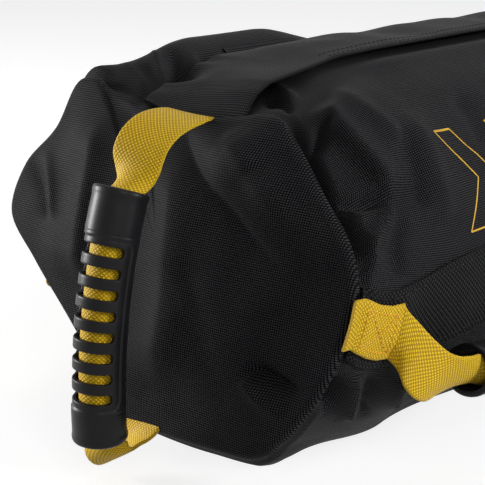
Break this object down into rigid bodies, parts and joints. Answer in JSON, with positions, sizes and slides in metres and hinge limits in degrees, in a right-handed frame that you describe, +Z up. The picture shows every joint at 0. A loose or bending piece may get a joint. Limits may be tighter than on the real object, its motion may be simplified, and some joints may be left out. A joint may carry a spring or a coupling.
{
  "type": "sandbag trainer",
  "caption": "Slack cloth roll filled with sand pouches, with sewn webbing handles in slotted moulded grips along both sides and across both ends, and a zip under a storm flap.",
  "frame": {"origin": "on the floor under the middle of the bag, at the bottom centre of the bounding box", "axes": "+X along the bag towards its right end, -Y towards the front side, +Z up from the floor"},
  "size_m": [0.77, 0.2932, 0.2083],
  "materials": {
    "bag_cloth": "coarse coated basket weave, matt",
    "band_webbing": "flat black webbing, matt",
    "yellow_webbing": "nubbed flat webbing, matt",
    "moulded_grip": "satin moulded plastic",
    "zip_coil": "satin nylon coil",
    "zip_metal": "dark satin metal",
    "filler_cloth": "plain cloth, matt",
    "sand": "loose dry sand"
  },
  "bodies": {
    "bag": {"body_panel": "bag_cloth", "end_panel_left": "bag_cloth", "end_panel_right": "bag_cloth", "band_front": "band_webbing", "band_back": "band_webbing", "end_foot_left_upper": "yellow_webbing", "end_foot_left_lower": "yellow_webbing", "end_foot_right_upper": "yellow_webbing", "end_foot_right_lower": "yellow_webbing", "foot_front_left_outer": "yellow_webbing", "foot_front_left_inner": "yellow_webbing", "foot_front_right_outer": "yellow_webbing", "foot_front_right_inner": "yellow_webbing", "foot_back_left_outer": "yellow_webbing", "foot_back_left_inner": "yellow_webbing", "foot_back_right_outer": "yellow_webbing", "foot_back_right_inner": "yellow_webbing", "flap_end_left": "bag_cloth", "flap_end_right": "bag_cloth", "flap_hem": "bag_cloth", "zip_teeth_front": "zip_coil", "zip_teeth_back": "zip_coil", "zip_tape_front": "band_webbing", "zip_tape_back": "band_webbing", "zip_stop_left": "zip_metal", "zip_stop_right": "zip_metal", "filler_bag_1": "filler_cloth", "filler_bag_2": "filler_cloth", "filler_bag_3": "filler_cloth", "sand_1": "sand", "sand_2": "sand", "sand_3": "sand", "filler_closure_1": "band_webbing", "filler_closure_2": "band_webbing", "filler_closure_3": "band_webbing"},
    "flap": {"storm_flap": "bag_cloth"},
    "slider": {"zip_slider": "zip_metal"},
    "puller": {"zip_puller": "zip_metal"},
    "end_handle_left": {"end_strap_left": "yellow_webbing", "end_grip_left": "moulded_grip"},
    "end_handle_right": {"end_strap_right": "yellow_webbing", "end_grip_right": "moulded_grip"},
    "handle_front_left": {"strap_front_left": "yellow_webbing", "grip_front_left": "moulded_grip"},
    "handle_front_right": {"strap_front_right": "yellow_webbing", "grip_front_right": "moulded_grip"},
    "handle_back_left": {"strap_back_left": "yellow_webbing", "grip_back_left": "moulded_grip"},
    "handle_back_right": {"strap_back_right": "yellow_webbing", "grip_back_right": "moulded_grip"}
  },
  "joints": [
    {"name": "flap_hinge", "type": "hinge", "parent": "bag", "child": "flap", "pos_m": [0, 0.036, 0.1972], "axis": [-1, 0, 0], "range_deg": [0, 125]},
    {"name": "zip_slide", "type": "slide", "parent": "bag", "child": "slider", "axis": [1, 0, 0], "range_m": [0, 0.438]},
    {"name": "puller_hinge", "type": "hinge", "parent": "slider", "child": "puller", "pos_m": [-0.219, 0, 0.1971], "axis": [0, -1, 0], "range_deg": [0, 10]},
    {"name": "end_left_swing", "type": "hinge", "parent": "bag", "child": "end_handle_left", "pos_m": [-0.341, 0, 0.0255], "axis": [0.2596, 0, 0.9657], "range_deg": [-30, 30]},
    {"name": "end_right_swing", "type": "hinge", "parent": "bag", "child": "end_handle_right", "pos_m": [0.341, 0, 0.0255], "axis": [-0.2596, 0, 0.9657], "range_deg": [-30, 30]},
    {"name": "front_left_lift", "type": "hinge", "parent": "bag", "child": "handle_front_left", "pos_m": [-0.19, -0.1247, 0.107], "axis": [-1, 0, 0], "range_deg": [0, 120]},
    {"name": "front_right_lift", "type": "hinge", "parent": "bag", "child": "handle_front_right", "pos_m": [0.19, -0.1247, 0.107], "axis": [-1, 0, 0], "range_deg": [0, 120]},
    {"name": "back_left_lift", "type": "hinge", "parent": "bag", "child": "handle_back_left", "pos_m": [-0.19, 0.1247, 0.107], "axis": [1, 0, 0], "range_deg": [0, 120]},
    {"name": "back_right_lift", "type": "hinge", "parent": "bag", "child": "handle_back_right", "pos_m": [0.19, 0.1247, 0.107], "axis": [1, 0, 0], "range_deg": [0, 120]}
  ]
}
